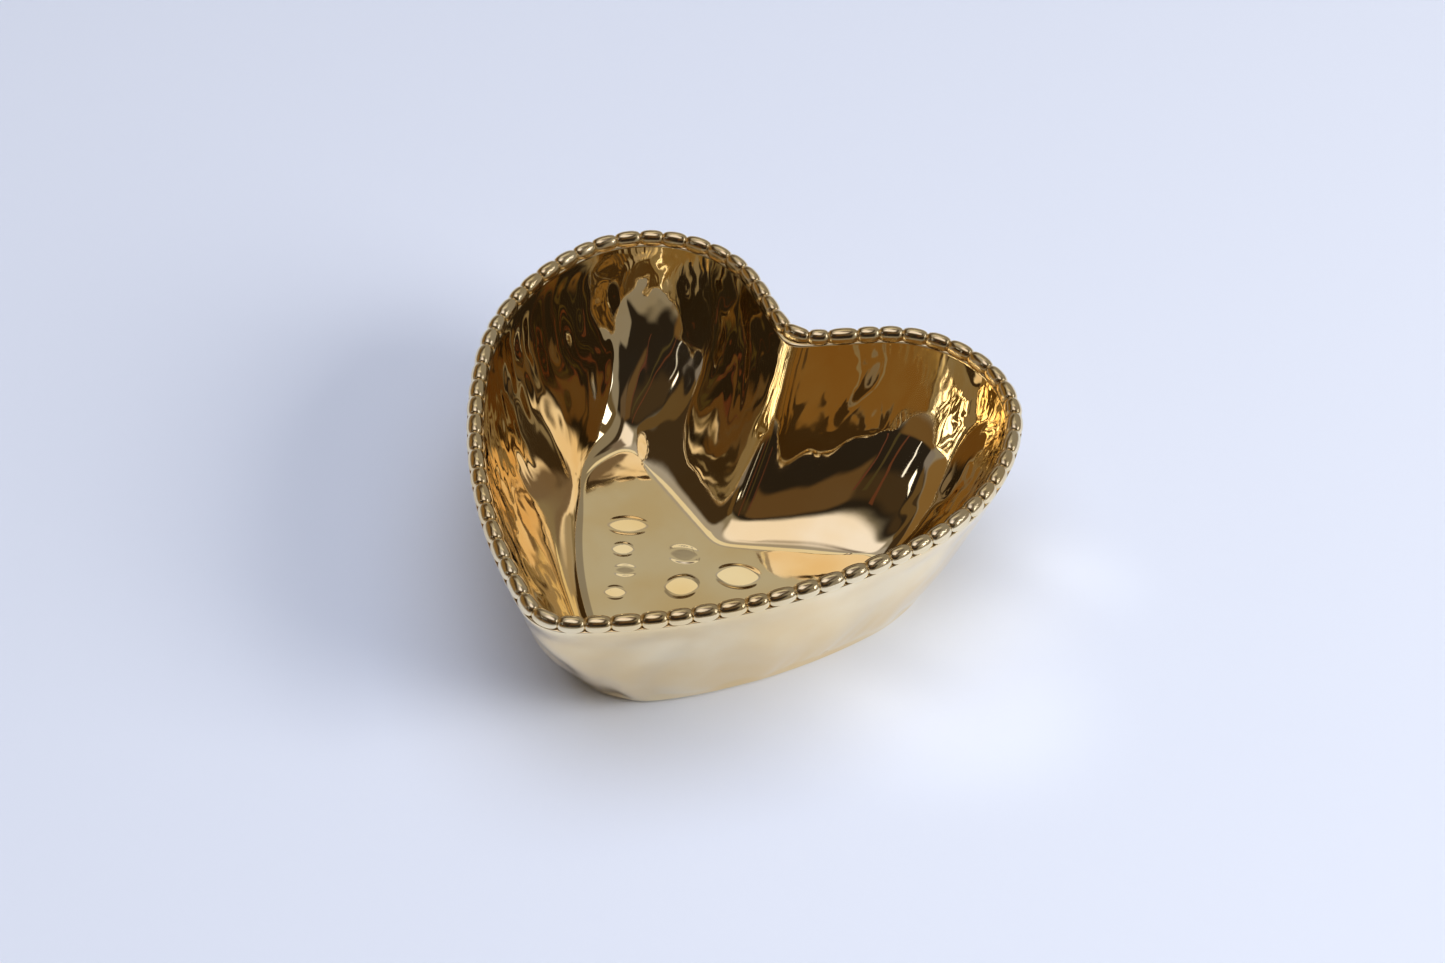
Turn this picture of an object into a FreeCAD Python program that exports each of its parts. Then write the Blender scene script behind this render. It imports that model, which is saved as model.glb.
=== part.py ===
import FreeCAD
import Part
import math
import os

from FreeCAD import Vector

# Heart-shaped open dish of slip-cast porcelain, with a string of beads along its rim.
# Millimetres and degrees. The dish stands on the plane z = 0, its tip towards -Y and its
# lobes towards +Y, and the origin is under the middle of its outline.

# Plan: the heart that the bead centres follow, as tangent arcs and straight notch sides
BEAD_LINE_WIDTH = 147.0      # across both lobes
LOBE_RADIUS = 32.3           # top of each lobe
SHOULDER_RADIUS = 67.3       # from the lobe round to the side
FLANK_RADIUS = 166.0         # long side down to the tip
TIP_RADIUS = 12.2            # rounded point of the heart
NOTCH_RADIUS = 9.9           # rounded notch between the lobes
NOTCH_SLOPE = 37.4           # straight sides of the notch, from the X axis
LOBE_END_ANGLE = 21.5        # polar angle where the lobe hands over to the shoulder
SHOULDER_END_ANGLE = -24.0   # polar angle where the shoulder hands over to the flank

# Heights and wall
DISH_HEIGHT = 54.0           # table to the top of the beads
FLOOR_THICKNESS = 3.2
WALL_THICKNESS = 4.4         # measured level
WALL_PROUD = 2.1             # outer wall outside the bead line, at the rim
WALL_DRAW = 18.5             # how far the outer wall draws in from the rim to the underside
WALL_BELLY = 1.7             # how far the outer wall bows out of a straight slope
BASE_EDGE_RADIUS = 2.5       # rounding between the outer wall and the underside
BASE_TIP_RADIUS = 26.0       # rounded point of the heart, at the underside
RIDGE_RADIUS = 5.0           # ridge that the notch makes inside the dish

# Hollow: the inner wall, the wide cove at its foot and the level floor
COVE_TOP = 26.0              # height where the inner wall turns into the cove
COVE_DROP = 4.5              # how far down the cove keeps to the line of the wall
COVE_RUNOUT = 0.42           # share of the cove's width that it takes to come level
LOBE_DRAW = 3.0              # how much further in the wall comes at COVE_TOP in the lobes,
NOTCH_DRAW = 1.5             # and beside the notch, than it does along the flanks
FLOOR_SHARE = 0.9            # inset of the level floor's edge, as a share of LOBE_RADIUS
FLOOR_SHIFT = 12.0           # how far the edge's lobes and notch are shifted to the tip
FLOOR_SHIFT_RANGE = (0.0, 42.0)

# Beads
BEAD_DIAMETER = 5.0
BEAD_NECK_HEIGHT = 2.75      # rim up to the top of the waist between two beads
BEAD_SHOULDER = 1.9          # length of a bead's taper at each end
BEAD_PITCH = 6.8             # wanted distance between bead centres
BEAD_SEAT_DROP = 1.2         # bead centre down to the flat that sits on the rim

# Foot
FOOT_HEIGHT = 1.0
FOOT_WIDTH = 4.0
FOOT_SETBACK = 1.0           # from the edge of the underside in to the foot

WALL_STEPS = 2               # straight frusta that follow the belly of the outer wall
EDGE_STEPS = 2               # frusta round the base edge
HOLLOW_STEPS = 3             # slices down the inner wall
COVE_STEPS = 4               # slices down the cove
HOLLOW_POINTS = 120          # points round each outline of the hollow
BEAD_SIDES = 8               # flats round a bead, which lie within 0.1 mm of its round
OVERRUN = 3.0                # how far a cutting solid runs past what it cuts

BEAD_PLANE = DISH_HEIGHT - BEAD_DIAMETER / 2
RIM_HEIGHT = BEAD_PLANE - BEAD_SEAT_DROP
FLOOR_HEIGHT = FOOT_HEIGHT + FLOOR_THICKNESS
WALL_HEIGHT = RIM_HEIGHT - FOOT_HEIGHT
UP = Vector(0, 0, 1)


def polar(centre, radius, angle):
    """Point at a polar angle round a centre."""
    turn = math.radians(angle)
    return centre + Vector(math.cos(turn), math.sin(turn), 0) * radius


def arc(centre, radius, start, end):
    """Arc edge between two polar angles, level with its centre."""
    return Part.Arc(*[polar(centre, radius, angle) for angle in (start, (start + end) / 2, end)]).toShape()


def heart_wire(inset, z, tip_radius, notch_radius):
    """Closed level heart, inset from the bead line, from the notch round by +X and the tip."""
    lead = (SHOULDER_RADIUS - LOBE_RADIUS) * math.cos(math.radians(LOBE_END_ANGLE))
    lobe = Vector(BEAD_LINE_WIDTH / 2 - SHOULDER_RADIUS + lead, 0, z)
    shoulder = polar(lobe, LOBE_RADIUS - SHOULDER_RADIUS, LOBE_END_ANGLE)
    flank = polar(shoulder, SHOULDER_RADIUS - FLANK_RADIUS, SHOULDER_END_ANGLE)

    reach = FLANK_RADIUS - inset - tip_radius
    tip_angle = -math.degrees(math.acos(-flank.x / reach))
    tip = polar(flank, reach, tip_angle)

    slope = math.radians(NOTCH_SLOPE)
    notch_end = polar(lobe, LOBE_RADIUS - inset, 90 + NOTCH_SLOPE)
    corner = notch_end.y - notch_end.x * math.tan(slope)
    notch = Vector(0, corner + notch_radius / math.cos(slope), z)

    right = [
        arc(notch, notch_radius, -90, NOTCH_SLOPE - 90),
        Part.makeLine(polar(notch, notch_radius, NOTCH_SLOPE - 90), notch_end),
        arc(lobe, LOBE_RADIUS - inset, 90 + NOTCH_SLOPE, LOBE_END_ANGLE),
        arc(shoulder, SHOULDER_RADIUS - inset, LOBE_END_ANGLE, SHOULDER_END_ANGLE),
        arc(flank, FLANK_RADIUS - inset, SHOULDER_END_ANGLE, tip_angle),
        arc(tip, tip_radius, tip_angle, -90),
    ]
    left = [edge.mirror(Vector(0, 0, 0), Vector(1, 0, 0)) for edge in reversed(right)]
    return Part.Wire(right + left)


def outer_inset(z):
    """Inset of the outer wall at height z: a straight draw with a parabolic belly."""
    depth = (RIM_HEIGHT - z) / WALL_HEIGHT
    return -WALL_PROUD + WALL_DRAW * depth - 4 * WALL_BELLY * depth * (1 - depth)


def wall_lean(z):
    """Angle of the wall from the vertical at height z, in radians."""
    depth = (RIM_HEIGHT - z) / WALL_HEIGHT
    return math.atan((WALL_DRAW - 4 * WALL_BELLY * (1 - 2 * depth)) / WALL_HEIGHT)


def wall_tip_radius(inset, z):
    """Tip radius at height z, running parallel to the outer wall, whose tip blunts downwards."""
    depth = (RIM_HEIGHT - z) / WALL_HEIGHT
    rim_radius = TIP_RADIUS + WALL_PROUD
    outer_radius = rim_radius + (BASE_TIP_RADIUS - rim_radius) * depth
    return outer_radius + outer_inset(z) - inset


def rounded_foot_of_wall(inset, z, radius, steps):
    """(inset, z) pairs round the arc from a level face up to a wall that leans out from (inset, z)."""
    turn = math.pi / 2 - wall_lean(z)
    centre = inset + radius * math.tan(turn / 2)
    angles = [turn * step / steps for step in range(steps + 1)]
    return [(centre - radius * math.sin(a), z + radius * (1 - math.cos(a))) for a in angles]


def underside_sections():
    return rounded_foot_of_wall(outer_inset(FOOT_HEIGHT), FOOT_HEIGHT, BASE_EDGE_RADIUS, EDGE_STEPS)


def outside():
    """Solid through level hearts: round the base edge, then up the outer wall to the rim."""
    curve = underside_sections()
    rise = RIM_HEIGHT - curve[-1][1]
    heights = [RIM_HEIGHT - rise * step / WALL_STEPS for step in reversed(range(WALL_STEPS))]
    sections = curve + [(outer_inset(z), z) for z in heights]
    notch_radius = NOTCH_RADIUS - WALL_PROUD
    wires = [heart_wire(inset, z, wall_tip_radius(inset, z), notch_radius) for inset, z in sections]
    return Part.makeLoft(wires, True, True)


def swell(value, start, end):
    """Smooth step: 0 up to start, 1 from end on, level at both."""
    share = min(max((value - start) / (end - start), 0), 1)
    return share * share * (3 - 2 * share)


def heart_points(inset, z):
    """Evenly spaced points of the inner heart at this inset and height, from the notch on."""
    wire = heart_wire(inset, z, wall_tip_radius(inset, z), RIDGE_RADIUS)
    return wire.discretize(Number=HOLLOW_POINTS + 1)[:-1]


def wall_points(z):
    """Points of the inner wall at height z: an inset heart, drawn further in at the lobes.

    The extra draw grows with the square of the depth. Round the heart it is NOTCH_DRAW
    beside the notch, rises to LOBE_DRAW at the lobes' ends and dies out down the flanks.
    """
    points = heart_points(outer_inset(z) + WALL_THICKNESS, z)
    depth = max(RIM_HEIGHT - z, 0) / (RIM_HEIGHT - COVE_TOP)
    drawn = []
    for i, point in enumerate(points):
        from_tip = abs(i / HOLLOW_POINTS - 0.5)
        draw = LOBE_DRAW * swell(from_tip, 0.2, 0.33)
        draw += (NOTCH_DRAW - LOBE_DRAW) * swell(from_tip, 0.38, 0.45)
        ahead = points[(i + 1) % HOLLOW_POINTS] - points[i - 1]
        drawn.append(point + ahead.cross(UP).normalize() * draw * depth ** 2)
    return drawn


def floor_points():
    """Points of the level floor's edge: an inset heart, its lobes and notch shifted in -Y."""
    middle = outline_middle()
    points = heart_points(FLOOR_SHARE * LOBE_RADIUS, FLOOR_HEIGHT)
    return [p - Vector(0, FLOOR_SHIFT * swell(p.y - middle, *FLOOR_SHIFT_RANGE), 0) for p in points]


def cove_outlines():
    """Outlines down the cove: a cubic Bezier curve from each point of the wall's foot.

    Its other three points are one further along the wall's own line, one short of the
    floor's edge at the floor's level, and the floor's edge itself.
    """
    step = 0.1
    outlines = []
    columns = list(zip(wall_points(COVE_TOP + step), wall_points(COVE_TOP), floor_points()))
    for share in [n / COVE_STEPS for n in range(1, COVE_STEPS + 1)]:
        outline = []
        for above, foot, edge in columns:
            lead = foot + (foot - above) * (COVE_DROP / step)
            across = Vector(foot.x - edge.x, foot.y - edge.y, 0)
            runout = edge + across * COVE_RUNOUT
            rest = 1 - share
            outline.append(foot * rest ** 3 + lead * (3 * share * rest ** 2)
                           + runout * (3 * share ** 2 * rest) + edge * share ** 3)
        outlines.append(outline)
    return outlines


def smooth_wire(points):
    """Closed smooth curve through points that match one for one from outline to outline."""
    curve = Part.BSplineCurve()
    count = len(points)
    curve.interpolate(Points=points, PeriodicFlag=True, Parameters=[i / count for i in range(count + 1)])
    return Part.Wire(curve.toShape())


def hollow():
    """What is cut out of the bowl, from the level floor up past the rim."""
    top = RIM_HEIGHT + OVERRUN
    heights = [COVE_TOP + (top - COVE_TOP) * step / HOLLOW_STEPS for step in range(HOLLOW_STEPS + 1)]
    outlines = cove_outlines()[::-1] + [wall_points(z) for z in heights]
    return Part.makeLoft([smooth_wire(points) for points in outlines], True, True)


def bowl_body():
    """Leaning heart-shaped wall and floor: the outside less the hollow."""
    return outside().cut(hollow())


def foot_ring():
    """Low heart-shaped band under the edge of the underside."""
    edge_inset = underside_sections()[0][0] + FOOT_SETBACK
    insets = (edge_inset, edge_inset + FOOT_WIDTH)
    wires = [heart_wire(i, 0, wall_tip_radius(i, FOOT_HEIGHT), NOTCH_RADIUS) for i in insets]
    return Part.Face(wires).extrude(UP * FOOT_HEIGHT)


def bead_ring(centre, across):
    """Corners of the D-shaped section of a bead: round above, with its flat on the rim."""
    radius = BEAD_DIAMETER / 2
    dip = math.asin(BEAD_SEAT_DROP / radius)
    angles = [-dip + (math.pi + 2 * dip) * side / BEAD_SIDES for side in range(BEAD_SIDES + 1)]
    return [centre + across * radius * math.cos(a) + UP * radius * math.sin(a) for a in angles]


def bead_neck(ring, apex, joint, mitre):
    """Corners of a ring drawn towards an apex, as far as the mitre plane through the joint."""
    rays = [apex - corner for corner in ring]
    return [
        corner + ray * ((joint - corner).dot(mitre) / ray.dot(mitre))
        for corner, ray in zip(ring, rays)
    ]


def flat_faced(rings):
    """Solid through rings of corners, with a flat face between each two edges that pair up."""
    closed = [ring + ring[:1] for ring in rings]
    outlines = [closed[0], closed[-1]]
    for near, far in zip(closed, closed[1:]):
        outlines += [[*near[i:i + 2], *far[i:i + 2][::-1], near[i]] for i in range(len(near) - 1)]
    shell = Part.makeShell([Part.Face(Part.makePolygon(outline)) for outline in outlines])
    shell.sewShape()
    return Part.makeSolid(shell)


def bead(start, end, start_mitre, end_mitre):
    """One bead between two joints, its ends tapered along the rim and cut on the mitres."""
    along = (end - start).normalize()
    across = along.cross(UP)
    start_ring = bead_ring(start + along * BEAD_SHOULDER, across)
    end_ring = bead_ring(end - along * BEAD_SHOULDER, across)

    draw = BEAD_NECK_HEIGHT / (BEAD_DIAMETER / 2 + BEAD_SEAT_DROP)
    beyond = along * (BEAD_SHOULDER * draw / (1 - draw))
    seat = UP * BEAD_SEAT_DROP
    start_neck = bead_neck(start_ring, start - beyond - seat, start, start_mitre)
    end_neck = bead_neck(end_ring, end + beyond - seat, end, end_mitre)
    return flat_faced([start_neck, start_ring, end_ring, end_neck])


def bead_string():
    """All the beads in order round the heart, from the one in the notch, round by +X."""
    line = heart_wire(0, BEAD_PLANE, TIP_RADIUS, NOTCH_RADIUS)
    count = 2 * round(line.Length / BEAD_PITCH / 2)
    points = line.discretize(Number=2 * count + 1)[:-1]
    centres = points[0::2]
    joints = points[1::2]
    mitres = [(centres[(i + 1) % count] - centres[i]).normalize() for i in range(count)]
    return [bead(joints[i - 1], joints[i], mitres[i - 1], mitres[i]) for i in range(count)]


def outline_middle():
    """Y of the middle of the bead line, which the origin is put under."""
    box = heart_wire(0, 0, TIP_RADIUS, NOTCH_RADIUS).BoundBox
    return (box.YMin + box.YMax) / 2


def dish():
    """Every sub-part by name, in the dish's own frame."""
    beads = bead_string()
    half = len(beads) // 2
    parts = {
        "bowl_body": bowl_body(),
        "foot_ring": foot_ring(),
        "notch_bead": beads[0],
        "right_bead_string": Part.makeCompound(beads[1:half]),
        "tip_bead": beads[half],
        "left_bead_string": Part.makeCompound(beads[half + 1:]),
    }
    middle = Vector(0, outline_middle(), 0)
    return {name: shape.translated(-middle) for name, shape in parts.items()}


os.makedirs("parts", exist_ok=True)
for name, shape in dish().items():
    shape.exportStep("parts/" + name + ".step")
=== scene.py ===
import math

import bpy
import numpy as np
from mathutils import Matrix, Vector


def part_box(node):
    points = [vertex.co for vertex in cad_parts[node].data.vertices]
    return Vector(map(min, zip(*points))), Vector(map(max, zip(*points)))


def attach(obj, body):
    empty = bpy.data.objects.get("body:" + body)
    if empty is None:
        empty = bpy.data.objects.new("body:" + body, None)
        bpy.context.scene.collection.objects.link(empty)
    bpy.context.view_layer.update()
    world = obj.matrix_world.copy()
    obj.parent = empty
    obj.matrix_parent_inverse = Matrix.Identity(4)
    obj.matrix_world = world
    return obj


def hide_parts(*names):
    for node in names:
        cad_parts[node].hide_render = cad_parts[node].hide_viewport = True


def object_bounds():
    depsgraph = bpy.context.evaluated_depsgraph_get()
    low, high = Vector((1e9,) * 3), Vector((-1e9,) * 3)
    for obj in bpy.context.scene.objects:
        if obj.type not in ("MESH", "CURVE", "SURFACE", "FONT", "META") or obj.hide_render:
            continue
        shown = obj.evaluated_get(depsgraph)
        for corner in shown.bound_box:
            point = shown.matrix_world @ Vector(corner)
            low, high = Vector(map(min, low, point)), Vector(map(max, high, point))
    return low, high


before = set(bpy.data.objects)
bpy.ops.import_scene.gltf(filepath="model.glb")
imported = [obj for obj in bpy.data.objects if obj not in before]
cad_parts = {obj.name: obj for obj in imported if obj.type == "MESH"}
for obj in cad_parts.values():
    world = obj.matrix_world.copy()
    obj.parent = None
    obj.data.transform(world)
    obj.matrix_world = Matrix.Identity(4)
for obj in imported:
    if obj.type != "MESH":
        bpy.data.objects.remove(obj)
CAD_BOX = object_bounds()

# Heart-shaped open dish in gold-lustred porcelain, with a string of beads along its rim.
# Shapes are worked out in millimetres, and make_piece() turns them into metres. A place in
# plan is a complex number, x + iy, with the tip of the heart towards -Y and its lobes +Y.
MM = 0.001
PLACES = 9                   # decimals of a metre that a coordinate keeps: to the nanometre

# Plan of the bead line
BEAD_LINE_WIDTH = 147.0
LOBE_RADIUS = 32.3
SHOULDER_RADIUS = 67.3
FLANK_RADIUS = 166.0
TIP_RADIUS = 12.2
NOTCH_RADIUS = 9.9
NOTCH_SLOPE = math.radians(37.4)
LOBE_END = math.radians(21.5)
SHOULDER_END = math.radians(-24.0)

# Heights and wall
DISH_HEIGHT = CAD_BOX[1].z / MM
FOOT_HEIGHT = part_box("foot_ring")[1].z / MM
RIM_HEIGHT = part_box("bowl_body")[1].z / MM
FLOOR_HEIGHT = 4.2
WALL_HEIGHT = RIM_HEIGHT - FOOT_HEIGHT
WALL_THICKNESS = 4.4
WALL_PROUD = 2.1             # how far the wall's outside lies outside the bead line at the rim
WALL_DRAW = 18.5             # how far it comes in from there to the foot
WALL_BELLY = 1.7             # how far it bows out between the two
BASE_EDGE_RADIUS = 2.5
BASE_TIP_RADIUS = 26.0       # plan radius of the tip at the foot, where it is blunt
COVE_TOP = 26.0              # height where the inner wall turns into the cove
COVE_DROP = 4.5              # how far down the cove keeps to the line of the wall
COVE_RUNOUT = 0.42           # share of the cove's width that it takes to come level
FLOOR_INSET = 0.9 * LOBE_RADIUS  # level floor's outline: a heart inset from the bead line,
FLOOR_SHIFT = 12.0           # its lobes and notch shifted towards the tip
FLOOR_SHIFT_RANGE = (0.0, 42.0)
LOBE_DRAW = 3.0              # how much further in the wall comes at COVE_TOP in the lobes,
NOTCH_DRAW = 1.5             # and beside the notch, than it does along the flanks
LOBE_DRAW_RANGE = (0.20, 0.33)   # shares of the way round, from the tip, over which the draw
NOTCH_DRAW_RANGE = (0.38, 0.45)  # grows to LOBE_DRAW, and then goes over to NOTCH_DRAW
RIDGE_RADIUS = 5.0           # plan radius of the ridge that runs down inside from the notch
RIM_SHOULDER = 50.7          # height where the rim's round leaves the walls, inside the beads
RIM_ROUND_RISE = 0.3         # how much higher its top is
RIM_FLARE = 0.06             # how far the outside swells just under the beads, to meet them
RIM_FLARE_DEPTH = 2.5        # height over which it does

# Beads
BEAD_RADIUS = 2.5
BEAD_SEAT = 51.25            # height where the beads are widest, on average over their sides
BEAD_TILT = 0.20             # how much higher that is inside, and lower outside
BEAD_DOME = 0.06             # how much their outer side is drawn in above it to a dome
BEAD_COUNT = 70
BEAD_NECK = 0.56             # groove between two beads, as a share of their radius
BEAD_FULLNESS = 2.4          # how square-shouldered they are lengthways: 2 is an ellipse
BEAD_SPREAD = 0.030          # how much smaller than BEAD_RADIUS the beads are, at random
BEAD_SHIFT = 0.055           # how far a groove strays from its even place, in bead lengths

# Ripples of the slip casting, as the standard spread of the surface about its true shape
INNER_FOLDS = 0.13           # upright folds inside the wall
INNER_HAMMER = 0.040         # small flats between them
HAMMERED_SIDE = 0.22         # share of the way round where they are deepest
CALM_SIDE = 0.06             # and where folds and flats are weakest
OUTER_FOLDS = 0.26
OUTER_HAMMER = 0.035
FLOOR_WAVES = 0.03           # height of the level floor's slow wave

# Shallow oval flats pressed into the floor: middle, half length, half width, turn, and the
# slope that each has towards FRONT
FRONT = np.exp(-1j * math.radians(61))
FLOOR_HOLLOWS = [
    (-20.7 - 2.5j, 3.8, 2.9, 0.5, 0.085),
    (-15.9 - 9.1j, 3.8, 2.4, 0.5, -0.075),
    (-13.8 - 17.7j, 3.6, 2.8, 0.5, 0.080),
    (-5.2 + 4.8j, 5.2, 3.8, 0.3, -0.070),
    (0.6 - 6.0j, 5.6, 4.6, 0.9, 0.085),
    (11.8 + 5.5j, 7.0, 5.0, 0.4, 0.095),
    (-24.4 + 6.2j, 7.0, 3.8, 0.5, 0.080),
    (4.3 + 22.4j, 8.5, 3.6, 0.2, -0.060),
]

# Easing of the heart outlines
OUTLINE_EASING = 2.2         # distance over which two arcs ease into each other
EASED_TIP = 0.1              # how far that moves the middle, as it draws the tip in the most

# Mesh fineness
LINE_POINTS = 4000           # points round the bead line
OUTLINE_SAMPLES = 220        # points along each arc of a heart, before it is spaced evenly
BOWL_COLUMNS = 500
UNDERSIDE_ROWS = 5
EDGE_ROWS = 7                # on the base edge, and on each half of the rim's round
OUTER_ROWS = 32
INNER_ROWS = 38
COVE_ROWS = 32
FLOOR_ROWS = 72
BEAD_ROWS = 18
BEAD_COLUMNS = 28


# ---------------------------------------------------------------- heart outlines

def swell(value, start, end):
    """Smooth step: 0 where value is start, 1 where it is end, level at both."""
    share = np.clip((value - start) / (end - start), 0, 1)
    return share * share * (3 - 2 * share)


def arc(centre, radius, start, end):
    """Arc points: centre + radius * (cos, sin) of an angle that goes evenly from start to end."""
    share = np.linspace(0, 1, OUTLINE_SAMPLES, endpoint=False)
    return centre + radius * np.exp(1j * (start + (end - start) * share))


def evenly(line, count):
    """A closed line, whose ends coincide, as count points at equal distances along it."""
    along = np.insert(np.cumsum(np.abs(np.diff(line))), 0, 0)
    stops = along[-1] * np.arange(count) / count
    return np.interp(stops, along, line.real) + 1j * np.interp(stops, along, line.imag)


def eased(ring):
    """A closed ring, each point averaged with its neighbours under a bell curve."""
    spacing = np.abs(np.diff(ring)).mean()
    reach = int(3 * OUTLINE_EASING / spacing)
    steps = np.arange(-reach, reach + 1)
    weights = np.exp(-0.5 * (steps * spacing / OUTLINE_EASING) ** 2)
    return sum(w * np.roll(ring, k) for w, k in zip(weights / weights.sum(), steps))


def hearts(inset, tip_radius, notch_radius, columns):
    """Closed heart outlines, one row for each inset, from the notch round by +X and the tip.

    The right half is six pieces that meet tangentially: notch arc, straight notch side, lobe
    arc, shoulder arc, flank arc and tip arc. An inset takes the same length off every outer
    radius and leaves the arc centres where they are. The left half is the mirror image. Each
    row is then spaced evenly along its length and eased with a bell-shaped average.
    """
    inset, tip_radius, notch_radius = [
        np.reshape(value, (-1, 1)) for value in np.broadcast_arrays(inset, tip_radius, notch_radius)
    ]
    centre_out = (SHOULDER_RADIUS - LOBE_RADIUS) * math.cos(LOBE_END)
    lobe = BEAD_LINE_WIDTH / 2 - SHOULDER_RADIUS + centre_out
    shoulder = lobe + (LOBE_RADIUS - SHOULDER_RADIUS) * np.exp(1j * LOBE_END)
    flank = shoulder + (SHOULDER_RADIUS - FLANK_RADIUS) * np.exp(1j * SHOULDER_END)
    reach = FLANK_RADIUS - inset - tip_radius
    tip_angle = -np.arccos(-flank.real / reach)
    tip = flank + reach * np.exp(1j * tip_angle)
    side_end = lobe + (LOBE_RADIUS - inset) * np.exp(1j * (math.pi / 2 + NOTCH_SLOPE))
    corner = side_end.imag - side_end.real * math.tan(NOTCH_SLOPE)
    notch = 1j * (corner + notch_radius / math.cos(NOTCH_SLOPE))
    side_start = notch + notch_radius * np.exp(1j * (NOTCH_SLOPE - math.pi / 2))
    share = np.linspace(0, 1, OUTLINE_SAMPLES, endpoint=False)
    right = np.hstack([
        arc(notch, notch_radius, -math.pi / 2, NOTCH_SLOPE - math.pi / 2),
        side_start + (side_end - side_start) * share,
        arc(lobe, LOBE_RADIUS - inset, math.pi / 2 + NOTCH_SLOPE, LOBE_END),
        arc(shoulder, SHOULDER_RADIUS - inset, LOBE_END, SHOULDER_END),
        arc(flank, FLANK_RADIUS - inset, SHOULDER_END, tip_angle),
        arc(tip, tip_radius, tip_angle, -math.pi / 2),
        tip - 1j * tip_radius,
    ])
    whole = np.hstack([right, -right[:, -2::-1].conj()])
    return np.array([eased(evenly(row, columns)) for row in whole])


LINE = hearts(0, TIP_RADIUS, NOTCH_RADIUS, LINE_POINTS)[0]
MIDDLE = 0.5j * (LINE.imag.min() + LINE.imag.max()) - 1j * EASED_TIP
LINE_LENGTH = np.abs(LINE - np.roll(LINE, 1)).sum()


# ---------------------------------------------------------------- meshes

def grid_faces(rows, columns):
    """Quads of a grid whose columns close round, as vertex numbers, row by row."""
    corner = np.arange(rows * columns).reshape(rows, columns)
    here, there = corner[:-1], corner[1:]
    quads = [here, np.roll(here, -1, axis=1), np.roll(there, -1, axis=1), there]
    return np.stack(quads, axis=-1).reshape(-1, 4)


def closed_tube(points):
    """Vertices and faces of a tube through rows of points, closed by a pole at each end."""
    rows, columns = points.shape[:2]
    poles = [points[0].mean(axis=0), points[-1].mean(axis=0)]
    vertices = np.vstack([points.reshape(-1, 3), poles])
    first, last = np.arange(columns), np.arange(columns) + (rows - 1) * columns
    near = np.stack([np.roll(first, -1), first, np.full(columns, rows * columns)], axis=-1)
    far = np.stack([last, np.roll(last, -1), np.full(columns, rows * columns + 1)], axis=-1)
    return vertices, [*grid_faces(rows, columns).tolist(), *near.tolist(), *far.tolist()]


def add_object(name, data):
    """A new object in the scene, at the origin."""
    obj = bpy.data.objects.new(name, data)
    bpy.context.scene.collection.objects.link(obj)
    return obj


def make_piece(name, vertices, faces, satin, *nodes):
    """A smooth gold piece in metres, riding on the dish and standing for its CAD nodes.

    satin, from 0 to 1, is how much less bright its gold is than the bowl's, as an attribute.
    Coordinates are rounded, and -0 made 0, because their last bits can differ between runs.
    """
    mesh = bpy.data.meshes.new(name)
    mesh.from_pydata((np.round(vertices * MM, PLACES) + 0.0).tolist(), [], faces)
    mesh.polygons.foreach_set("use_smooth", np.ones(len(mesh.polygons), bool))
    mesh.materials.append(GOLD)
    dulled = mesh.attributes.new("satin", "FLOAT", "POINT")
    dulled.data.foreach_set("value", np.full(len(vertices), satin))
    mesh.validate()
    piece = add_object(name, mesh)
    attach(piece, "root")
    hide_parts(*nodes)


def surface_normals(points):
    """Unit outward normals of a grid whose columns close round: row step x column step.

    They point out where the rows go up outside and down inside, and the columns clockwise.
    """
    row_step = np.gradient(points, axis=0)
    column_step = np.roll(points, -1, axis=1) - np.roll(points, 1, axis=1)
    normal = np.cross(row_step, column_step)
    return normal / np.linalg.norm(normal, axis=-1, keepdims=True)


# ---------------------------------------------------------------- bowl

def outer_inset(z):
    """Inset of the outer wall at height z: a straight draw with a parabolic belly."""
    depth = (RIM_HEIGHT - z) / WALL_HEIGHT
    return -WALL_PROUD + WALL_DRAW * depth - 4 * WALL_BELLY * depth * (1 - depth)


def wall_lean(z):
    """Angle of the wall from the vertical at height z."""
    depth = (RIM_HEIGHT - z) / WALL_HEIGHT
    return math.atan((WALL_DRAW - 4 * WALL_BELLY * (1 - 2 * depth)) / WALL_HEIGHT)


def outline_tip(inset, z):
    """Tip radius at height z, parallel to the outer wall, whose tip blunts downwards."""
    depth = (RIM_HEIGHT - z) / WALL_HEIGHT
    rim = TIP_RADIUS + WALL_PROUD
    return rim + (BASE_TIP_RADIUS - rim) * depth + outer_inset(z) - inset


def rounded_foot(inset, z, radius, steps):
    """(insets, heights) round an arc from a level face to the wall that leans out from it."""
    turn = math.pi / 2 - wall_lean(z)
    angle = np.linspace(0, turn, steps)
    centre = inset + radius * math.tan(turn / 2)
    return centre - radius * np.sin(angle), z + radius * (1 - np.cos(angle))


def crown_inset():
    """Inset of the rim's top, midway between the wall's two faces."""
    return outer_inset(RIM_SHOULDER) + WALL_THICKNESS / 2


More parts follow.
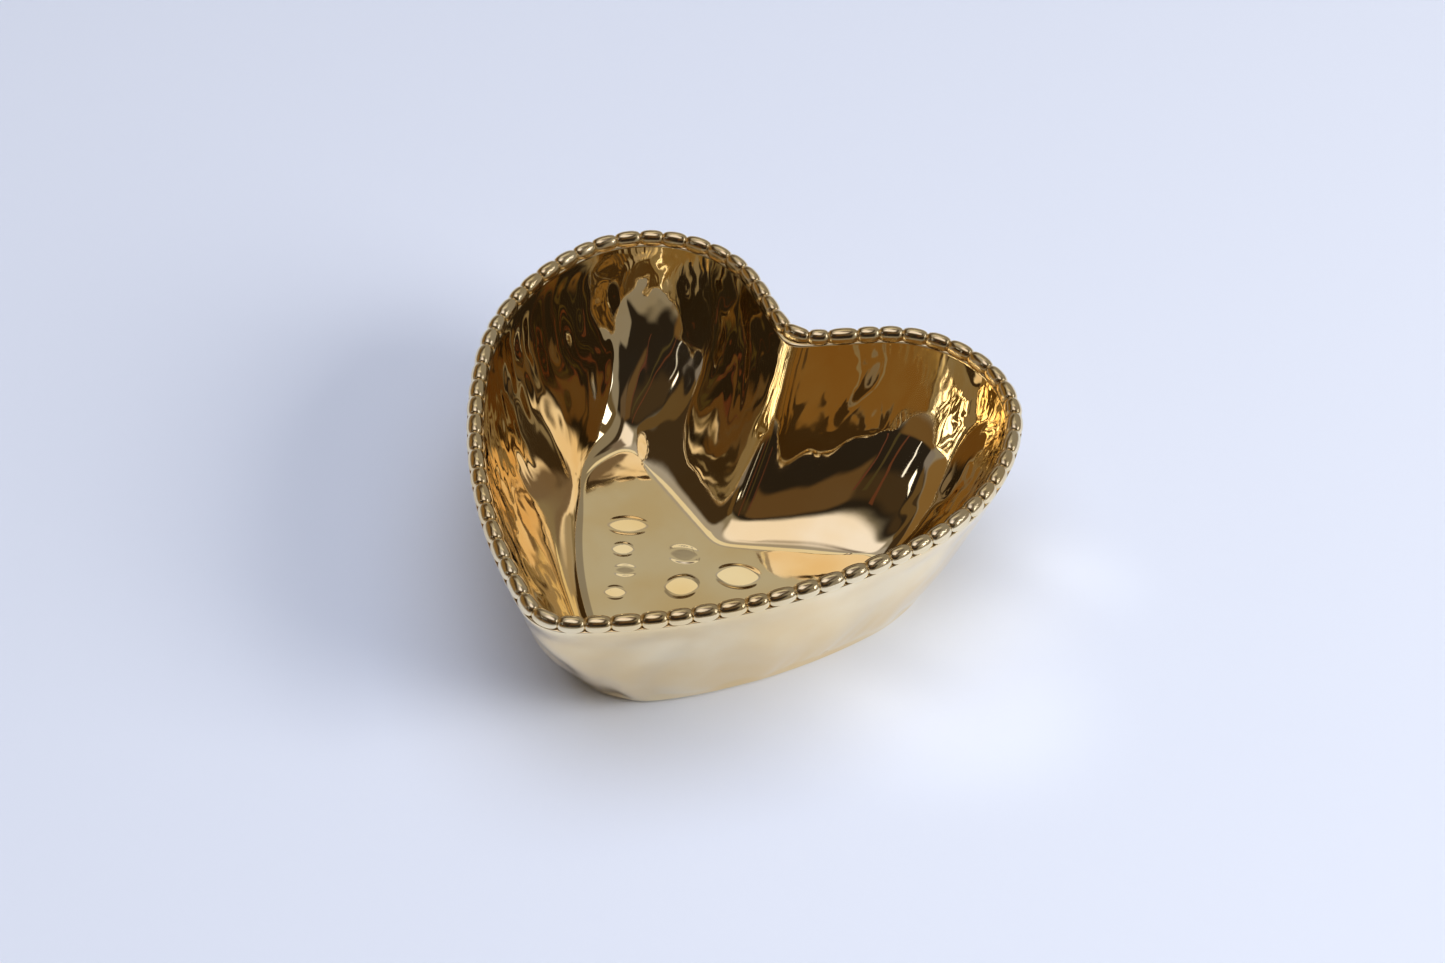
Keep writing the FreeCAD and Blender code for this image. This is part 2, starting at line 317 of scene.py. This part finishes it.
def outer_profile():
    """Insets, heights and shares of the rows from the pole under the bowl to the rim's top.

    Underside, base edge, outer wall and the outer half of the rim's round. The share draws
    the underside in to its pole.
    """
    foot_inset = outer_inset(FOOT_HEIGHT)
    base_inset, base_z = rounded_foot(foot_inset, FOOT_HEIGHT, BASE_EDGE_RADIUS, EDGE_ROWS)
    wall_z = np.linspace(base_z[-1], RIM_SHOULDER, OUTER_ROWS)[1:]
    turn = np.linspace(0, math.pi / 2, EDGE_ROWS)[1:]
    under = np.linspace(0, 1, UNDERSIDE_ROWS)[1:-1]
    flare = RIM_FLARE * swell(wall_z, RIM_SHOULDER - RIM_FLARE_DEPTH, RIM_SHOULDER)
    wall_inset = outer_inset(wall_z) - flare
    inset = [np.full(under.shape, base_inset[0]), base_inset, wall_inset,
             wall_inset[-1] + (crown_inset() - wall_inset[-1]) * (1 - np.cos(turn))]
    z = [np.full(under.shape, FOOT_HEIGHT), base_z, wall_z,
         RIM_SHOULDER + RIM_ROUND_RISE * np.sin(turn)]
    inset, z = np.concatenate(inset), np.concatenate(z)
    return inset, z, np.append(under, np.ones(len(inset) - len(under)))


def extra_draw(z):
    """How much further in than along the flanks the inner wall lies at height z, by column.

    It grows with the depth to the power 2. Round the heart it is NOTCH_DRAW beside the
    notch, rises to LOBE_DRAW at the lobes' ends and falls to nothing down the flanks.
    """
    from_tip = np.abs(np.arange(BOWL_COLUMNS) / BOWL_COLUMNS - 0.5)
    draw = LOBE_DRAW * swell(from_tip, *LOBE_DRAW_RANGE)
    draw = draw + (NOTCH_DRAW - LOBE_DRAW) * swell(from_tip, *NOTCH_DRAW_RANGE)
    return draw * np.clip((RIM_HEIGHT - z) / (RIM_HEIGHT - COVE_TOP), 0, None)[:, None] ** 2


def inner_hearts(inset, z, ridge):
    """Hearts of the inner face at these insets and heights, drawn further in by extra_draw."""
    rows = hearts(inset, outline_tip(inset, z), ridge, BOWL_COLUMNS) - MIDDLE
    ahead = np.roll(rows, -1, axis=1) - np.roll(rows, 1, axis=1)
    return rows - 1j * ahead / np.abs(ahead) * extra_draw(z)


def inner_wall():
    """Insets and heights from just past the rim's top down the inner wall to the cove."""
    turn = np.linspace(math.pi / 2, math.pi, EDGE_ROWS)[1:-1]
    wall_z = np.linspace(RIM_SHOULDER, COVE_TOP, INNER_ROWS)
    wall_inset = outer_inset(wall_z) + WALL_THICKNESS
    crown = crown_inset()
    inset = [crown - (wall_inset[0] - crown) * np.cos(turn), wall_inset]
    round_z = RIM_SHOULDER + RIM_ROUND_RISE * np.sin(turn)
    return np.concatenate(inset), np.concatenate([round_z, wall_z])


def plan_and_height(plan, z):
    """Points of rows in plan at heights z, about the middle of the dish."""
    z = np.broadcast_to(np.reshape(z, (-1, 1)), plan.shape)
    return np.stack([plan.real, plan.imag, z], axis=-1)


def floor_edge():
    """Outline of the level floor: an inset heart whose lobes and notch are shifted in -Y."""
    tip_radius = outline_tip(FLOOR_INSET, FLOOR_HEIGHT)
    heart = hearts(FLOOR_INSET, tip_radius, RIDGE_RADIUS, BOWL_COLUMNS)[0] - MIDDLE
    return heart - 1j * FLOOR_SHIFT * swell(heart.imag, *FLOOR_SHIFT_RANGE)


def cove():
    """Rows from the wall to the level floor: a cubic Bezier curve down each column.

    Its four points are the wall's foot, a point further along the wall's own line, a point
    short of the floor's edge at the floor's level, and the floor's edge itself.
    """
    z = COVE_TOP + np.array([0.1, 0.0])
    plan = inner_hearts(outer_inset(z) + WALL_THICKNESS, z, RIDGE_RADIUS)
    above, foot = plan_and_height(plan, z)
    lead = foot + (foot - above) * COVE_DROP / (z[0] - z[1])
    edge = plan_and_height(floor_edge()[None], FLOOR_HEIGHT)[0]
    runout = edge + COVE_RUNOUT * (foot - edge) * (1, 1, 0)
    t = np.linspace(0, 1, COVE_ROWS)[1:, None, None]
    return ((1 - t) ** 3 * foot + 3 * t * (1 - t) ** 2 * lead
            + 3 * t ** 2 * (1 - t) * runout + t ** 3 * edge)


def folds(around, height, crests, slant, count, seed):
    """Wandering folds: the sum of cosines of 2 pi k s + slant z + phase, of unit spread.

    s is the share of the way round the heart, and each k is a whole number drawn from the
    range crests, so that the folds meet at the notch. Another such sum, of a few long waves,
    pushes s back and forth so that no fold runs straight.
    """
    draw = np.random.default_rng(seed)
    long_waves = zip(draw.integers(2, 9, 5), draw.normal(0, 0.09, 5), draw.uniform(0, 7, 5))
    push = sum(np.cos(2 * math.pi * k * around + q * height + p) for k, q, p in long_waves)
    waves = zip(draw.integers(*crests, count), draw.normal(0, slant, count),
                draw.uniform(0, 7, count))
    total = sum(
        np.cos(2 * math.pi * k * around + q * height + p + 1.1 * push) for k, q, p in waves)
    return total * math.sqrt(2 / count)


def hollows(plan):
    """Height of the floor's oval flats: down towards FRONT by each one's slope, or up where it
    is negative, joined to the floor by a smooth step between 0.65 and 1 of its outline."""
    height = np.zeros(plan.shape)
    for middle, half_length, half_width, turn, slope in FLOOR_HOLLOWS:
        away = plan - middle
        place = away * np.exp(-1j * turn)
        squared = (place.real / half_length) ** 2 + (place.imag / half_width) ** 2
        height -= slope * (away * FRONT.conj()).real * swell(squared, 1, 0.42)
    return height


def wall_ripples(points, inside):
    """How far each point of the wall is moved along its outward normal.

    Upright folds with a finer hammering run over each face of the wall, and die out at the
    rim, at the cove and at the base edge. Inside, the hammering is deepest about
    HAMMERED_SIDE, and both are weakest about CALM_SIDE.
    """
    around = np.arange(points.shape[1]) / points.shape[1]
    z = points[..., 2]
    if inside:
        calm = 1 - 0.7 * swell(np.abs(around - CALM_SIDE), 0.10, 0.05)
        hammered = 0.5 + 2.3 * swell(np.abs(around - HAMMERED_SIDE), 0.09, 0.03)
        fade = (swell(z, RIM_HEIGHT - 1.0, RIM_HEIGHT - 5)
                * swell(z, FLOOR_HEIGHT + 2, COVE_TOP + 4))
        return fade * (calm * INNER_FOLDS * folds(around, z, (12, 40), 0.13, 16, 3)
                       + hammered * calm * INNER_HAMMER * folds(around, z, (40, 80), 0.6, 24, 4))
    fade = swell(z, RIM_HEIGHT - 0.5, RIM_HEIGHT - 10) * swell(z, FOOT_HEIGHT, FOOT_HEIGHT + 3)
    return fade * (OUTER_FOLDS * (folds(around, z, (8, 26), 0.10, 12, 5) - 2.5)
                   + OUTER_HAMMER * folds(around, z, (24, 60), 0.3, 16, 6))


def floor_ripples(points):
    """Height of the floor's oval flats and of a slow wave, over the level and the cove's foot."""
    plan = points[..., 0] + 1j * points[..., 1]
    level = 1 - swell(points[..., 2], FLOOR_HEIGHT, FLOOR_HEIGHT + 5)
    slow = np.cos(plan.real / 5.5 + 1.0) * np.cos(plan.imag / 7.0 + plan.real / 12)
    return level * (hollows(plan) + FLOOR_WAVES * slow)


def bowl_surface():
    """Grid of the bowl, from the pole under it, up outside, over the rim and down to the floor's
    pole: rows of inset hearts, the cove's curves, and the floor's edge drawn in to its pole."""
    inset, z, share = outer_profile()
    plan = hearts(inset, outline_tip(inset, z), NOTCH_RADIUS - WALL_PROUD, BOWL_COLUMNS)
    outside = plan_and_height((plan - MIDDLE) * share[:, None], z)
    ripples = wall_ripples(outside, False) * (share == 1)[:, None]
    outside += surface_normals(outside) * ripples[..., None]
    inset, z = inner_wall()
    ridge = NOTCH_RADIUS - WALL_PROUD + (RIDGE_RADIUS - NOTCH_RADIUS + WALL_PROUD) * (
        (inset - inset[0]) / (WALL_THICKNESS / 2)).clip(0, 1)
    wall = plan_and_height(inner_hearts(inset, z, ridge), z)
    slope = cove()
    share = np.linspace(1, 0, FLOOR_ROWS)[1:-1, None]
    edge = slope[-1, :, 0] + 1j * slope[-1, :, 1]
    pole = edge.mean()
    floor = plan_and_height(pole + (edge - pole) * share, FLOOR_HEIGHT)
    inner = np.concatenate([wall, slope, floor])
    inner += surface_normals(inner) * (wall_ripples(inner, True) + floor_ripples(inner))[..., None]
    return np.concatenate([outside, inner])[:, ::-1]


# ---------------------------------------------------------------- beads

def uneven_beads():
    """Places of the grooves, in bead lengths round the string, and the radius of each bead."""
    draw = np.random.default_rng(21)
    grooves = np.arange(BEAD_COUNT) - 0.5 + draw.normal(0, BEAD_SHIFT, BEAD_COUNT).clip(-0.1, 0.1)
    radii = BEAD_RADIUS * (1 - BEAD_SPREAD * np.abs(draw.normal(0, 1, BEAD_COUNT)).clip(0.8, 2.4))
    return np.append(grooves, grooves[0] + BEAD_COUNT), radii


def bead_string(first, last):
    """Tube through beads first to last of the string: a round whose radius swells and closes.

    t goes from -1 in the groove before each bead to 1 in the groove after it, and the place
    along the bead line runs evenly between them.
    Half width = neck + (full - neck) * (1 - |t|^BEAD_FULLNESS)^(1/2).
    The section is a round towards the inside of the dish. Towards the outside it is seated
    lower, and its height above the seat goes with the sine of the angle to the power
    1 + BEAD_DOME * (1 - cosine).
    """
    grooves, radii = uneven_beads()
    turn = np.linspace(0, math.pi, BEAD_ROWS + 1)[:-1]
    t = np.append(np.tile(-np.cos(turn), last - first + 1), 1)
    bead = np.append(np.repeat(np.arange(first, last + 1), BEAD_ROWS), last)
    place = grooves[bead] + (grooves[bead + 1] - grooves[bead]) * (t + 1) / 2
    distance = place * LINE_LENGTH / BEAD_COUNT
    neck = BEAD_NECK * BEAD_RADIUS
    radius = neck + (radii[bead] - neck) * np.sqrt(1 - np.abs(t) ** BEAD_FULLNESS)
    along = np.arange(-len(LINE), 2 * len(LINE)) * LINE_LENGTH / len(LINE)
    lap = np.tile(LINE - MIDDLE, 3)
    tangent = np.gradient(lap)
    centre, ahead = [
        np.interp(distance, along, part.real) + 1j * np.interp(distance, along, part.imag)
        for part in (lap, tangent)
    ]
    outward = -1j * ahead / np.abs(ahead)
    angle = np.linspace(0, 2 * math.pi, BEAD_COLUMNS, endpoint=False)
    plan = centre[:, None] - outward[:, None] * radius[:, None] * np.cos(angle)
    sine, cosine = np.sin(angle), np.cos(angle)
    seat = BEAD_SEAT + BEAD_TILT * cosine
    above = (DISH_HEIGHT - seat) * np.abs(sine) ** (1 + BEAD_DOME * (1 - cosine))
    below = (seat - (DISH_HEIGHT - 2 * BEAD_RADIUS)) * sine
    z = seat + radius[:, None] / BEAD_RADIUS * np.where(sine > 0, above, below)
    return np.stack([plan.real, plan.imag, z], axis=-1)


# ---------------------------------------------------------------- materials

def new_material(name):
    """A material with its node tree and its shader."""
    material = bpy.data.materials.new(name)
    material.use_nodes = True
    return material, material.node_tree, material.node_tree.nodes["Principled BSDF"]


class Tree:
    """Short ways to add nodes to a node tree and join them up."""

    def __init__(self, tree):
        self.tree = tree

    def join(self, value, socket):
        """Links an output to a socket, or sets the socket to a plain value."""
        if isinstance(value, bpy.types.NodeSocket):
            self.tree.links.new(value, socket)
        else:
            socket.default_value = value

    def node(self, kind, settings=None, **inputs):
        """A node with its settings, and its inputs joined by name, with _ for a space."""
        node = self.tree.nodes.new("ShaderNode" + kind)
        for name, value in (settings or {}).items():
            setattr(node, name, value)
        for name, value in inputs.items():
            self.join(value, node.inputs[name.replace("_", " ")])
        return node

    def maths(self, operation, *values):
        """A Math node of plain values and outputs."""
        node = self.node("Math", {"operation": operation})
        for value, socket in zip(values, node.inputs):
            self.join(value, socket)
        return node.outputs[0]

    def ramp(self, value, low, high, bottom=0.0, top=1.0):
        """Smooth step from bottom at low to top at high."""
        return self.node("MapRange", {"interpolation_type": "SMOOTHSTEP"}, Value=value,
                         From_Min=low, From_Max=high, To_Min=bottom, To_Max=top).outputs[0]

    def blend(self, factor, first, second):
        """The first colour where factor is 0, going over to the second where it is 1."""
        node = self.node("Mix", {"data_type": "RGBA"}, Factor=factor)
        self.join(first, node.inputs["A"])
        self.join(second, node.inputs["B"])
        return node.outputs["Result"]

    def noise(self, place, scale, detail=2.0):
        """Noise of this many waves to the metre."""
        return self.node("TexNoise", Vector=place, Scale=scale, Detail=detail).outputs["Fac"]

    def stretched(self, place, turn, stretch):
        """A place turned about Z, then stretched unevenly, for grain that runs one way."""
        return self.node("Mapping", Vector=place, Rotation=turn, Scale=stretch).outputs[0]

    def group(self, group, **inputs):
        """A placed node group, its inputs joined by name."""
        return self.node("Group", {"node_tree": group}, **inputs)


def new_group(name, inputs, outputs):
    """A node group with these named sockets, as its tree, its inputs and its output node."""
    group = bpy.data.node_groups.new(name, "ShaderNodeTree")
    for sockets, side in ((inputs, "INPUT"), (outputs, "OUTPUT")):
        for socket, kind in sockets.items():
            group.interface.new_socket(socket, in_out=side, socket_type="NodeSocket" + kind)
    given = group.nodes.new("NodeGroupInput").outputs
    return Tree(group), given, group.nodes.new("NodeGroupOutput").inputs


def kiln_tone():
    """Group: two firing colours that drift into each other in patches of noise."""
    tree, given, out = new_group(
        "kiln_tone", {"Place": "Vector", "Patches": "Float", "Thin": "Color", "Thick": "Color"},
        {"Color": "Color", "Thickness": "Float"})
    drift = tree.ramp(tree.noise(given["Place"], given["Patches"], 3.0), 0.32, 0.68)
    tree.join(drift, out["Thickness"])
    tree.join(tree.blend(drift, given["Thin"], given["Thick"]), out["Color"])
    return tree.tree


def pinholes():
    """Group: a sparse scatter of round specks, one in a few cells of a Voronoi pattern."""
    tree, given, out = new_group(
        "pinholes", {"Place": "Vector", "Spacing": "Float", "Size": "Float", "Share": "Float"},
        {"Mask": "Float"})
    cells = tree.node("TexVoronoi", Vector=given["Place"], Scale=given["Spacing"])
    lot = tree.node("SeparateColor", Color=cells.outputs["Color"]).outputs[0]
    chosen = tree.maths("LESS_THAN", lot, given["Share"])
    speck = tree.ramp(cells.outputs["Distance"], given["Size"], 0.0)
    tree.join(tree.maths("MULTIPLY", speck, chosen), out["Mask"])
    return tree.tree


def hand_wipe():
    """Group: fine crossing strokes of a soft cloth or brush, finer in some places than others."""
    tree, given, out = new_group(
        "hand_wipe", {"Place": "Vector", "Fineness": "Float", "Patches": "Float"},
        {"Strokes": "Float"})
    fine = given["Fineness"]
    first = tree.noise(tree.stretched(given["Place"], (0.3, 0.2, 0.6), (1, 0.06, 1)), fine, 3.0)
    second = tree.noise(tree.stretched(given["Place"], (0.1, -0.4, -0.5), (0.07, 1, 1)), fine, 3.0)
    patch = tree.ramp(tree.noise(given["Place"], given["Patches"], 2.0), 0.45, 0.7)
    strokes = tree.maths("MULTIPLY", tree.maths("ADD", first, second), 0.5)
    tree.join(tree.maths("MULTIPLY", strokes, patch), out["Strokes"])
    return tree.tree


def gold_lustre(groups):
    """Bright gold fired over the glaze: patches of thinner and thicker gold, faint wiping
    strokes, a few pinholes and the glaze's own slight unevenness."""
    material, plain, shader = new_material("gold_lustre")
    tree = Tree(plain)
    place = tree.node("TexCoord").outputs["Object"]
    tone = tree.group(groups["kiln_tone"], Place=place, Patches=38.0,
                      Thin=(0.92, 0.79, 0.54, 1), Thick=(0.88, 0.69, 0.39, 1))
    holes = tree.group(groups["pinholes"], Place=place, Spacing=260.0, Size=0.05, Share=0.05)
    strokes = tree.group(groups["hand_wipe"], Place=place, Fineness=900.0, Patches=45.0)
    in_hole = tree.maths("MULTIPLY", holes.outputs["Mask"], 0.8)
    tree.join(tree.blend(in_hole, tone.outputs["Color"], (0.25, 0.14, 0.06, 1)),
              shader.inputs["Base Color"])
    rough = tree.ramp(tone.outputs["Thickness"], 0.0, 1.0, 0.035, 0.02)
    satin = tree.node("Attribute", {"attribute_name": "satin"}).outputs["Fac"]
    for mask, roughening in ((strokes.outputs["Strokes"], 0.10), (holes.outputs["Mask"], 0.3),
                             (satin, 0.12)):
        rough = tree.maths("ADD", rough, tree.maths("MULTIPLY", mask, roughening))
    tree.join(rough, shader.inputs["Roughness"])
    shader.inputs["Metallic"].default_value = 1
    orange_peel = tree.noise(place, 420.0, 1.0)
    height = tree.maths("SUBTRACT", orange_peel, holes.outputs["Mask"])
    tree.join(tree.node("Bump", Strength=0.35, Distance=0.00001, Height=height).outputs[0],
              shader.inputs["Normal"])
    return material


def bare_porcelain(groups):
    """Unglazed white porcelain, rubbed smooth: grain, grey rub marks and dark specks."""
    material, plain, shader = new_material("bare_porcelain")
    tree = Tree(plain)
    place = tree.node("TexCoord").outputs["Object"]
    tone = tree.group(groups["kiln_tone"], Place=place, Patches=120.0,
                      Thin=(0.80, 0.77, 0.72, 1), Thick=(0.72, 0.69, 0.65, 1))
    specks = tree.group(groups["pinholes"], Place=place, Spacing=900.0, Size=0.25, Share=0.08)
    strokes = tree.group(groups["hand_wipe"], Place=place, Fineness=1500.0, Patches=90.0)
    rubbed = tree.blend(tree.maths("MULTIPLY", strokes.outputs["Strokes"], 0.5),
                        tone.outputs["Color"], (0.45, 0.43, 0.42, 1))
    tree.join(tree.blend(specks.outputs["Mask"], rubbed, (0.20, 0.16, 0.13, 1)),
              shader.inputs["Base Color"])
    tree.join(tree.ramp(strokes.outputs["Strokes"], 0.0, 0.6, 0.75, 0.5),
              shader.inputs["Roughness"])
    grain = tree.noise(place, 3500.0, 2.0)
    tree.join(tree.node("Bump", Strength=0.4, Distance=0.00004, Height=grain).outputs[0],
              shader.inputs["Normal"])
    return material


GROUPS = {"kiln_tone": kiln_tone(), "pinholes": pinholes(), "hand_wipe": hand_wipe()}
GOLD = gold_lustre(GROUPS)
make_piece("bowl", *closed_tube(bowl_surface()), 0.0, "bowl_body")

# The string of beads, parted as in the CAD: piece, first and last bead, node that it replaces
HALF = BEAD_COUNT // 2
for name, first, last, node in (
        ("notch_bead_round", 0, 0, "notch_bead"),
        ("right_beads", 1, HALF - 1, "right_bead_string"),
        ("tip_bead_round", HALF, HALF, "tip_bead"),
        ("left_beads", HALF + 1, BEAD_COUNT - 1, "left_bead_string")):
    make_piece(name, *closed_tube(bead_string(first, last)), 1.0, node)

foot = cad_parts["foot_ring"]
foot.data.materials.clear()
foot.data.materials.append(bare_porcelain(GROUPS))


# ---------------------------------------------------------------- studio

# Rounds of light beside the dish on the table: x, y, reach and power
TABLE_GLINTS = [
    (0.056, -0.002, 0.050, 14),
    (0.0790, 0.0360, 0.013, 15),
    (0.0700, 0.0180, 0.010, 14),
    (0.0640, -0.0104, 0.014, 12),
    (0.0850, 0.0600, 0.016, 12),
]
GLINT_LAMP = Vector((1.0, 0.1, 0.75))
LAMP_TARGET = Vector((0, 0, 0.03))

# Large lamps: name, place, side, power, colour
SOFT_BOXES = [
    ("key", (1.4, 0.25, 0.85), 0.9, 17, (1.0, 0.98, 0.97)),
    ("fill", (0.1, -0.1, 2.5), 3.0, 46, (0.65, 0.76, 1.0)),
]

TABLE_HALF = 3.0
TABLE_COLOUR = (0.80, 0.835, 0.90)
BACKDROP_COLOUR = (0.8, 0.82, 0.88)
STUDIO_WALLS = (0.26, 0.235, 0.20)

CAMERA_AZIMUTH = math.radians(28.862)
CAMERA_ELEVATION = math.radians(44.443)
CAMERA_ROLL = math.radians(2.271)
CAMERA_DISTANCE = 0.7955
CAMERA_TARGET = Vector((0.0125, -0.00668, 0.0515))
CAMERA_SENSOR = 36
CAMERA_LENS = 75.17

# Panels of the studio: azimuth, elevation, turn, half width, half height, soft edge, colour
PANELS = [
    (0, 89.9, 0, 0.42, 0.42, 0.15, (1.0, 0.95, 1.0)),          # ceiling
    (150, 58, 0, 0.45, 0.30, 0.15, (0.40, 0.38, 0.38)),        # its far side, behind the dish
    (119, 57, 0, 0.30, 0.09, 0.03, (0.85, 0.78, 0.62)),        # pale beam
    (121, 44, 0, 0.15, 0.13, 0.06, (0.48, 0.44, 0.35)),        # wall that the floor mirrors
    (-75, 42, 0, 1.25, 0.60, 0.15, (0.022, 0.017, 0.013)),     # dark front of the room
    (-137, 28, 0, 0.12, 0.16, 0.05, (0.22, 0.20, 0.20)),
    (-170, 46, 0, 0.50, 0.22, 0.08, (0.050, 0.032, 0.016)),
    (-85, 57, 0, 0.55, 0.14, 0.08, (0.055, 0.036, 0.019)),     # brown flats in it
    (-52, 53, 0, 0.22, 0.24, 0.08, (0.12, 0.072, 0.032)),
    (-26, 50, 0, 0.18, 0.22, 0.08, (0.12, 0.085, 0.055)),
    (-110, 16, 0, 0.50, 0.20, 0.15, (0.15, 0.085, 0.03)),
    (180, 24, 0, 0.65, 0.26, 0.06, (0.22, 0.13, 0.045)),
    (-98, 42, 4, 0.025, 0.40, 0.012, (0.12, 0.045, 0.025)),
    (-85, 40, -3, 0.035, 0.35, 0.020, (0.07, 0.055, 0.025)),
    (-68, 40, 2, 0.020, 0.30, 0.012, (0.12, 0.045, 0.030)),
    (-141, 45, 0, 0.09, 0.20, 0.03, (0.12, 0.075, 0.030)),
    (18, 66, 0, 0.42, 0.13, 0.06, (0.045, 0.033, 0.022)),      # dark beam
    (75, 72, 0, 0.26, 0.20, 0.12, (0.20, 0.165, 0.15)),
    (142, 30, 0, 0.40, 0.18, 0.06, (0.09, 0.06, 0.032)),
    (-113, 36, 3, 0.012, 0.22, 0.010, (1.5, 1.5, 1.6)),        # lit slit
    (-127, 44, 0, 0.035, 0.05, 0.02, (2.5, 2.5, 2.5)),
    (20, 33, 0, 0.32, 0.20, 0.05, (0.13, 0.095, 0.050)),       # window and its bright panes
    (11, 30, 10, 0.07, 0.10, 0.02, (4.0, 4.0, 4.1)),
    (24, 38, -10, 0.06, 0.07, 0.02, (4.0, 4.0, 4.1)),
    (26, 27, 5, 0.06, 0.05, 0.015, (4.0, 4.0, 4.1)),
    (37, 33, 0, 0.04, 0.06, 0.015, (4.0, 4.0, 4.1)),
    (5, 21, 0, 0.08, 0.04, 0.02, (2.6, 2.6, 2.7)),
]


def make_table():
    """Plain pale table top, a square at height 0."""
    mesh = bpy.data.meshes.new("table")
    corners = [(-1, -1, 0), (1, -1, 0), (1, 1, 0), (-1, 1, 0)]
    mesh.from_pydata([TABLE_HALF * Vector(corner) for corner in corners], [], [(0, 1, 2, 3)])
    table = add_object("table", mesh)
    material, _, shader = new_material("table_top")
    shader.inputs["Base Color"].default_value = (*TABLE_COLOUR, 1)
    shader.inputs["Roughness"].default_value = 0.6
    mesh.materials.append(material)


def aim(obj, place, target, roll=0.0):
    """Puts obj at place, its -Z towards target and its top turned by roll from upright."""
    forward = (Vector(target) - Vector(place)).normalized()
    level = forward.cross(Vector((0, 0, 1))).normalized()
    up = level.cross(forward)
    right = level * math.cos(roll) + up * math.sin(roll)
    turned = Matrix((right, right.cross(forward), -forward)).transposed()
    obj.matrix_world = Matrix.Translation(place) @ turned.to_4x4()


def add_lamp(name, kind, place, target, power, colour):
    """A lamp aimed at a target. The gold mirrors the studio's panels, and not the lamp."""
    lamp = bpy.data.lights.new(name, kind)
    lamp.energy = power
    lamp.color = colour
    obj = add_object(name, lamp)
    aim(obj, place, target)
    obj.visible_glossy = False
    return lamp


def soft_box(name, place, side, power, colour):
    """Large square lamp that lights the dish and the table softly."""
    lamp = add_lamp(name, "AREA", place, LAMP_TARGET, power, colour)
    lamp.shape = "RECTANGLE"
    lamp.size = lamp.size_y = side


def table_glint(x, y, reach, power):
    """Soft round of light on the table at x, y, such as the gold throws beside the dish."""
    spot = Vector((x, y, 0))
    lamp = add_lamp("table_glint", "SPOT", GLINT_LAMP, spot, power, (1.0, 0.96, 0.88))
    lamp.spot_blend = 1.0
    lamp.shadow_soft_size = 0.01
    lamp.spot_size = 2 * math.atan(reach / (GLINT_LAMP - spot).length)


def direction(azimuth, elevation):
    """Unit vector at an azimuth from +X towards +Y and an elevation, both in degrees."""
    a, e = math.radians(azimuth), math.radians(elevation)
    return Vector((math.cos(a) * math.cos(e), math.sin(a) * math.cos(e), math.sin(e)))


def soft_panel():
    """Group: one soft-edged panel of a colour, laid over what is behind it.

    The panel is a rectangle seen square on along its Axis. Its half sizes and the width of
    its soft edge are in units of its distance.
    """
    tree, given, out = new_group(
        "soft_panel",
        {"Behind": "Color", "Direction": "Vector", "Axis": "Vector", "Across": "Vector",
         "Up": "Vector", "Half Width": "Float", "Half Height": "Float", "Softness": "Float",
         "Panel": "Color"},
        {"Color": "Color"})

    def along(axis):
        node = tree.node("VectorMath", {"operation": "DOT_PRODUCT"})
        tree.join(given["Direction"], node.inputs[0])
        tree.join(given[axis], node.inputs[1])
        return node.outputs["Value"]

    def edge(axis, half):
        offset = tree.maths("ABSOLUTE", tree.maths("DIVIDE", along(axis), depth))
        core = tree.maths("SUBTRACT", given[half], given["Softness"])
        return tree.ramp(offset, given[half], core)

    depth = tree.maths("MAXIMUM", along("Axis"), 0.001)
    mask = tree.maths("MULTIPLY", edge("Across", "Half Width"), edge("Up", "Half Height"))
    tree.join(tree.blend(mask, given["Behind"], given["Panel"]), out["Color"])
    return tree.tree


def make_world():
    """Studio walls with the panels laid over them, and for the camera a plain pale backdrop."""
    world = bpy.data.worlds.new("studio")
    world.use_nodes = True
    tree = Tree(world.node_tree)
    around = tree.node("TexCoord").outputs["Generated"]
    group = soft_panel()
    colour = (*STUDIO_WALLS, 1)
    for azimuth, elevation, turn, half_width, half_height, softness, paint in PANELS:
        axis = direction(azimuth, elevation)
        level = Vector((0, 0, 1)).cross(axis).normalized()
        upright = axis.cross(level)
        turn = math.radians(turn)
        colour = tree.group(
            group, Behind=colour, Direction=around, Axis=axis,
            Across=level * math.cos(turn) + upright * math.sin(turn),
            Up=upright * math.cos(turn) - level * math.sin(turn),
            Half_Width=half_width, Half_Height=half_height, Softness=softness,
            Panel=(*paint, 1)).outputs["Color"]
    seen = tree.node("LightPath").outputs["Is Camera Ray"]
    tree.join(tree.blend(seen, colour, (*BACKDROP_COLOUR, 1)),
              world.node_tree.nodes["Background"].inputs["Color"])
    bpy.context.scene.world = world


def make_camera():
    """Camera in front of the dish, above it and to its right, rolled a little."""
    camera = bpy.data.cameras.new("camera")
    camera.sensor_width = CAMERA_SENSOR
    camera.lens = CAMERA_LENS
    obj = add_object("camera", camera)
    back = Vector((
        math.sin(CAMERA_AZIMUTH) * math.cos(CAMERA_ELEVATION),
        -math.cos(CAMERA_AZIMUTH) * math.cos(CAMERA_ELEVATION),
        math.sin(CAMERA_ELEVATION)))
    aim(obj, CAMERA_TARGET + back * CAMERA_DISTANCE, CAMERA_TARGET, CAMERA_ROLL)
    bpy.context.scene.camera = obj


make_table()
make_world()
for box in SOFT_BOXES:
    soft_box(*box)
for glint in TABLE_GLINTS:
    table_glint(*glint)
make_camera()
bpy.context.scene.view_settings.view_transform = "Standard"
